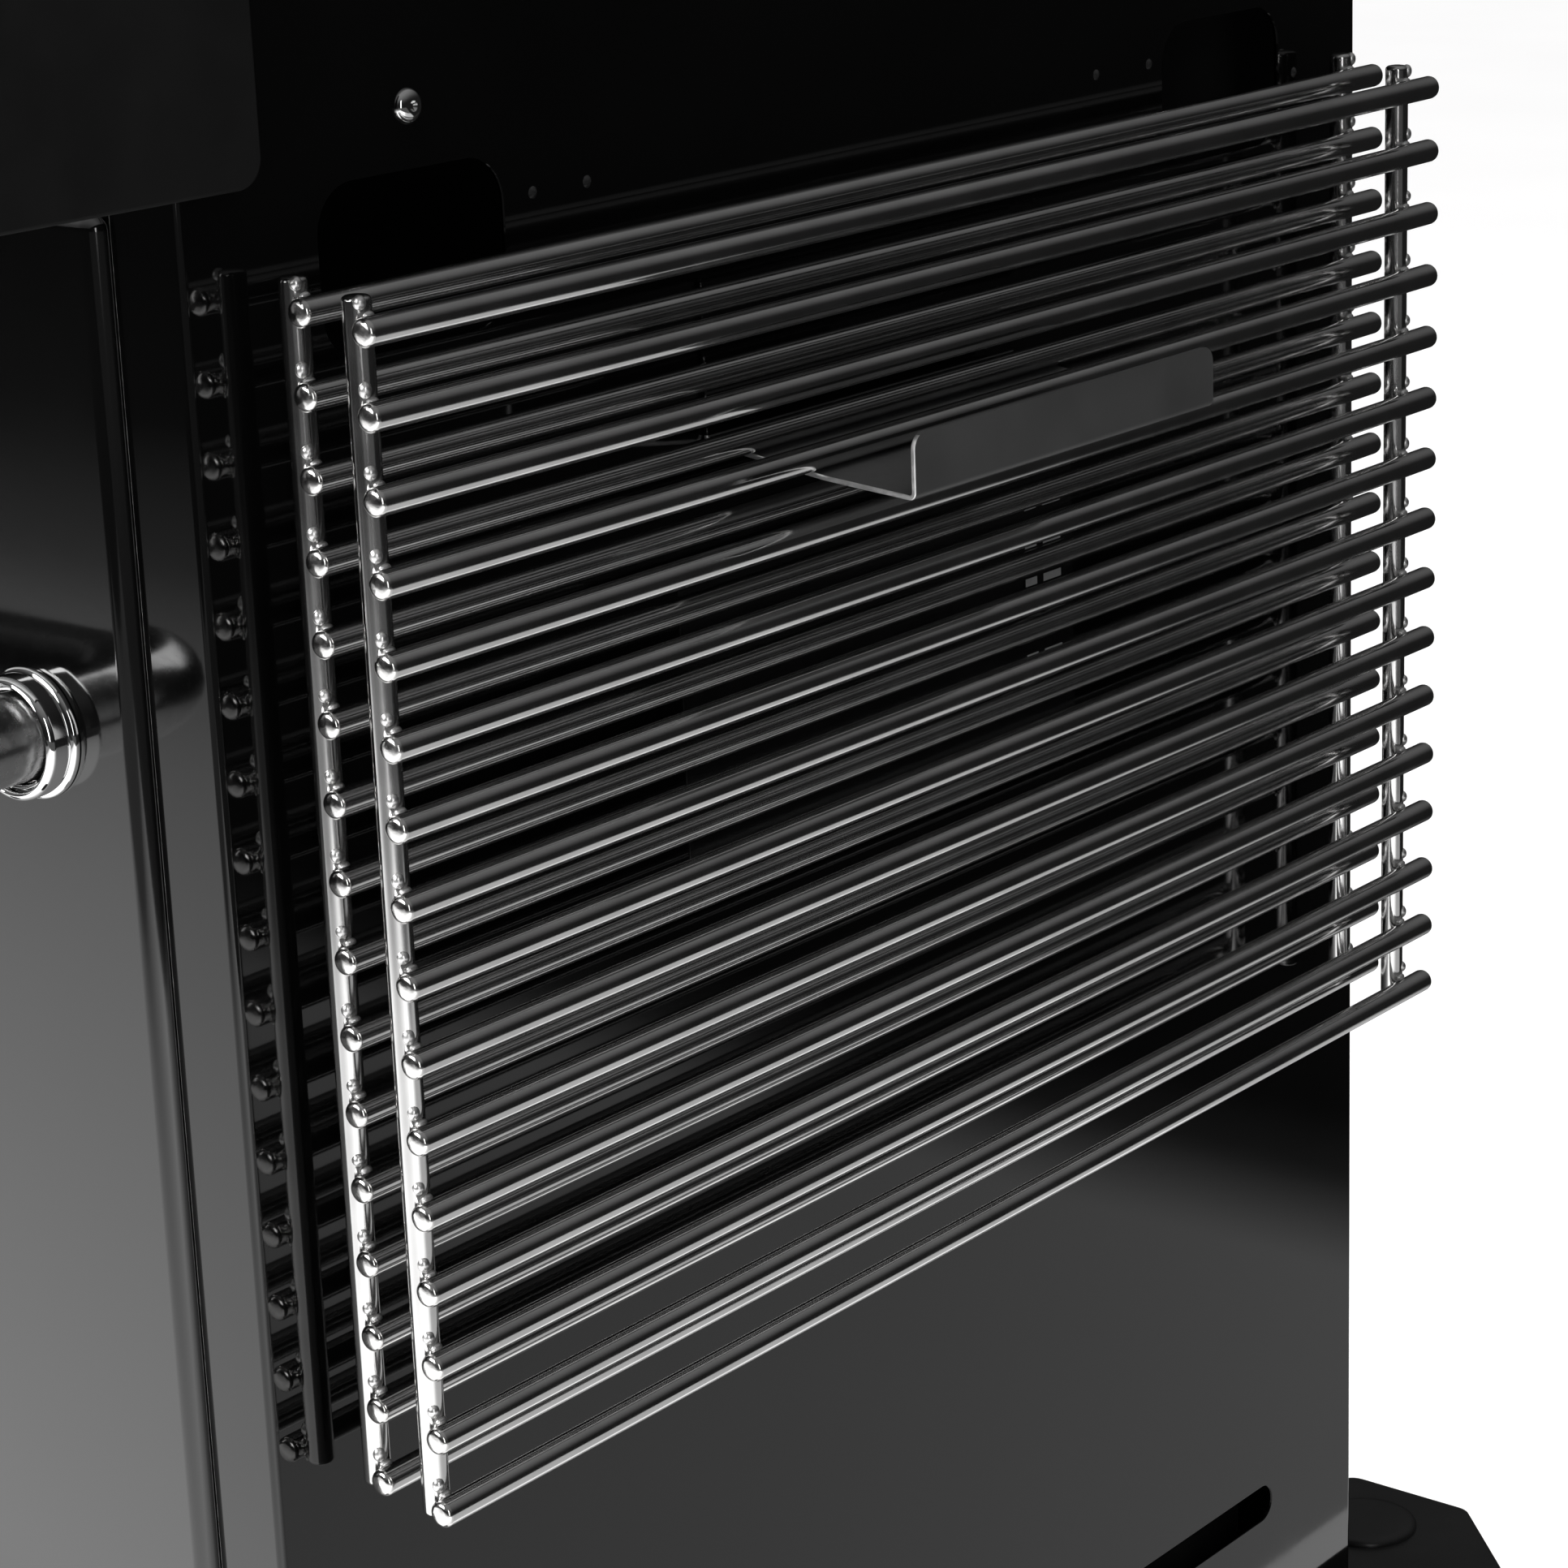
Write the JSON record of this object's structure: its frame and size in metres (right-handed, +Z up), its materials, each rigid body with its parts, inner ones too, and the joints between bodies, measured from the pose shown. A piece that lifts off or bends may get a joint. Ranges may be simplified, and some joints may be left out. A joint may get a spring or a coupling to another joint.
{
  "type": "vertical water smoker",
  "caption": "Upright gas-fired water smoker: smoke chamber with water pan and grates over a cylinder drawer, spare grates hung on the side, on casters",
  "frame": {"origin": "floor under the middle of the object's bounding box", "axes": "+Z up; the doors and the console face -Y; the stored grates hang on the +X side"},
  "size_m": [0.7312, 0.8148, 1.4435],
  "materials": {
    "gloss_black_enamel": "high-gloss black enamel on sheet steel",
    "satin_black_paint": "satin black paint",
    "black_plastic": "heat-resistant black moulded plastic",
    "matte_grey_paint": "matte dark grey textured paint",
    "galvanised_steel": "aluminised or galvanised sheet steel",
    "polished_stainless": "electropolished stainless rod",
    "satin_stainless": "satin stainless steel",
    "chrome_plate": "polished chrome plate",
    "grey_bracket_paint": "satin grey paint",
    "porcelain_enamel": "porcelain enamel",
    "cast_iron": "seasoned cast iron",
    "brass": "plain brass",
    "seal_rope": "woven glass-fibre rope",
    "wheel_rubber": "black solid rubber",
    "needle_red": "red painted needle"
  },
  "bodies": {
    "cabinet": {"side_panel_left": "gloss_black_enamel", "side_panel_right": "gloss_black_enamel", "base_pan": "satin_black_paint", "back_panel": "satin_black_paint", "roof_panel": "gloss_black_enamel", "deck_plate": "galvanised_steel", "chamber_liner": "galvanised_steel", "door_gasket": "seal_rope", "rack_rail_left": "galvanised_steel", "rack_rail_right": "galvanised_steel", "chimney": "satin_black_paint", "console_fascia": "satin_stainless", "console_cheek_left": "matte_grey_paint", "console_cheek_right": "matte_grey_paint", "gas_manifold": "brass", "burner_left": "satin_stainless", "burner_right": "satin_stainless", "heat_diffuser": "satin_stainless", "side_hook": "grey_bracket_paint", "cabinet_leaf_lower": "satin_black_paint", "cabinet_leaf_upper": "satin_black_paint", "hinge_pin_lower": "satin_stainless", "hinge_pin_upper": "satin_stainless", "caster_pod_front_right": "gloss_black_enamel", "caster_pod_front_left": "gloss_black_enamel", "caster_pod_rear_right": "gloss_black_enamel", "caster_pod_rear_left": "gloss_black_enamel"},
    "chamber_door": {"chamber_door_skin": "gloss_black_enamel", "chamber_door_liner": "galvanised_steel", "chamber_door_handle": "satin_stainless", "chamber_collar_lower": "chrome_plate", "chamber_collar_upper": "chrome_plate", "thermometer_case": "chrome_plate", "door_leaf_lower": "satin_black_paint", "door_leaf_upper": "satin_black_paint"},
    "needle": {"thermometer_needle": "needle_red"},
    "drawer": {"drawer_front": "gloss_black_enamel", "drawer_tray": "galvanised_steel", "drawer_handle": "satin_stainless", "drawer_collar_left": "chrome_plate", "drawer_collar_right": "chrome_plate"},
    "left_knob": {"burner_knob_left": "black_plastic"},
    "right_knob": {"burner_knob_right": "black_plastic"},
    "igniter": {"igniter_button": "black_plastic"},
    "damper": {"damper_plate": "satin_stainless"},
    "lower_grate": {"cooking_grate_lower": "polished_stainless"},
    "upper_grate": {"cooking_grate_upper": "polished_stainless"},
    "pan": {"water_pan": "porcelain_enamel"},
    "wood_tray": {"chip_tray": "cast_iron"},
    "drip_tray": {"grease_tray": "galvanised_steel"},
    "outer_hung_grate": {"hung_grate_outer": "polished_stainless"},
    "inner_hung_grate": {"hung_grate_inner": "polished_stainless"},
    "front_right_fork": {"caster_fork_front_right": "satin_stainless"},
    "front_right_wheel": {"caster_wheel_front_right": "wheel_rubber"},
    "front_left_fork": {"caster_fork_front_left": "satin_stainless"},
    "front_left_wheel": {"caster_wheel_front_left": "wheel_rubber"},
    "rear_right_fork": {"caster_fork_rear_right": "satin_stainless"},
    "rear_right_wheel": {"caster_wheel_rear_right": "wheel_rubber"},
    "rear_left_fork": {"caster_fork_rear_left": "satin_stainless"},
    "rear_left_wheel": {"caster_wheel_rear_left": "wheel_rubber"}
  },
  "joints": [
    {"name": "chamber_door_hinge", "type": "hinge", "parent": "cabinet", "child": "chamber_door", "pos_m": [-0.34115, -0.3121, 1.1225], "axis": [0, 0, -1], "range_deg": [0, 110]},
    {"name": "thermometer_needle_turn", "type": "hinge", "parent": "chamber_door", "child": "needle", "pos_m": [-0.02365, -0.3274, 1.2225], "axis": [0, 1, 0], "range_deg": [-135, 135]},
    {"name": "drawer_slide", "type": "slide", "parent": "cabinet", "child": "drawer", "axis": [0, -1, 0], "range_m": [0, 0.42]},
    {"name": "left_knob_turn", "type": "hinge", "parent": "cabinet", "child": "left_knob", "pos_m": [-0.14365, -0.3816, 0.8385], "axis": [0, 1, 0], "range_deg": [-180, 0]},
    {"name": "right_knob_turn", "type": "hinge", "parent": "cabinet", "child": "right_knob", "pos_m": [0.09635, -0.3816, 0.8385], "axis": [0, 1, 0], "range_deg": [-180, 0]},
    {"name": "igniter_press", "type": "slide", "parent": "cabinet", "child": "igniter", "axis": [0, 1, 0], "range_m": [0, 0.006], "stiffness_N_per_m": 400},
    {"name": "damper_turn", "type": "hinge", "parent": "cabinet", "child": "damper", "pos_m": [-0.02365, 0.1234, 1.4105], "axis": [1, 0, 0], "range_deg": [-90, 0]},
    {"name": "lower_grate_slide", "type": "slide", "parent": "cabinet", "child": "lower_grate", "axis": [0, -1, 0], "range_m": [0, 0.18]},
    {"name": "upper_grate_slide", "type": "slide", "parent": "cabinet", "child": "upper_grate", "axis": [0, -1, 0], "range_m": [0, 0.18]},
    {"name": "water_pan_slide", "type": "slide", "parent": "cabinet", "child": "pan", "axis": [0, -1, 0], "range_m": [0, 0.19]},
    {"name": "chip_tray_slide", "type": "slide", "parent": "cabinet", "child": "wood_tray", "axis": [0, -1, 0], "range_m": [0, 0.08]},
    {"name": "grease_tray_slide", "type": "slide", "parent": "cabinet", "child": "drip_tray", "axis": [0, -1, 0], "range_m": [0, 0.15]},
    {"name": "outer_hung_grate_lift", "type": "slide", "parent": "cabinet", "child": "outer_hung_grate", "axis": [0, 0, 1], "range_m": [0, 0.01]},
    {"name": "inner_hung_grate_lift", "type": "slide", "parent": "cabinet", "child": "inner_hung_grate", "axis": [0, 0, 1], "range_m": [0, 0.01]},
    {"name": "front_right_swivel", "type": "hinge", "parent": "cabinet", "child": "front_right_fork", "pos_m": [0.25235, -0.3626, 0.091], "axis": [0, 0, 1], "continuous": true},
    {"name": "front_right_roll", "type": "hinge", "parent": "front_right_fork", "child": "front_right_wheel", "pos_m": [0.25235, -0.3426, 0.038], "axis": [1, 0, 0], "continuous": true},
    {"name": "front_left_swivel", "type": "hinge", "parent": "cabinet", "child": "front_left_fork", "pos_m": [-0.29965, -0.3626, 0.091], "axis": [0, 0, 1], "continuous": true},
    {"name": "front_left_roll", "type": "hinge", "parent": "front_left_fork", "child": "front_left_wheel", "pos_m": [-0.29965, -0.3426, 0.038], "axis": [1, 0, 0], "continuous": true},
    {"name": "rear_right_swivel", "type": "hinge", "parent": "cabinet", "child": "rear_right_fork", "pos_m": [0.25235, 0.3494, 0.091], "axis": [0, 0, 1], "continuous": true},
    {"name": "rear_right_roll", "type": "hinge", "parent": "rear_right_fork", "child": "rear_right_wheel", "pos_m": [0.25235, 0.3694, 0.038], "axis": [1, 0, 0], "continuous": true},
    {"name": "rear_left_swivel", "type": "hinge", "parent": "cabinet", "child": "rear_left_fork", "pos_m": [-0.29965, 0.3494, 0.091], "axis": [0, 0, 1], "continuous": true},
    {"name": "rear_left_roll", "type": "hinge", "parent": "rear_left_fork", "child": "rear_left_wheel", "pos_m": [-0.29965, 0.3694, 0.038], "axis": [1, 0, 0], "continuous": true}
  ]
}
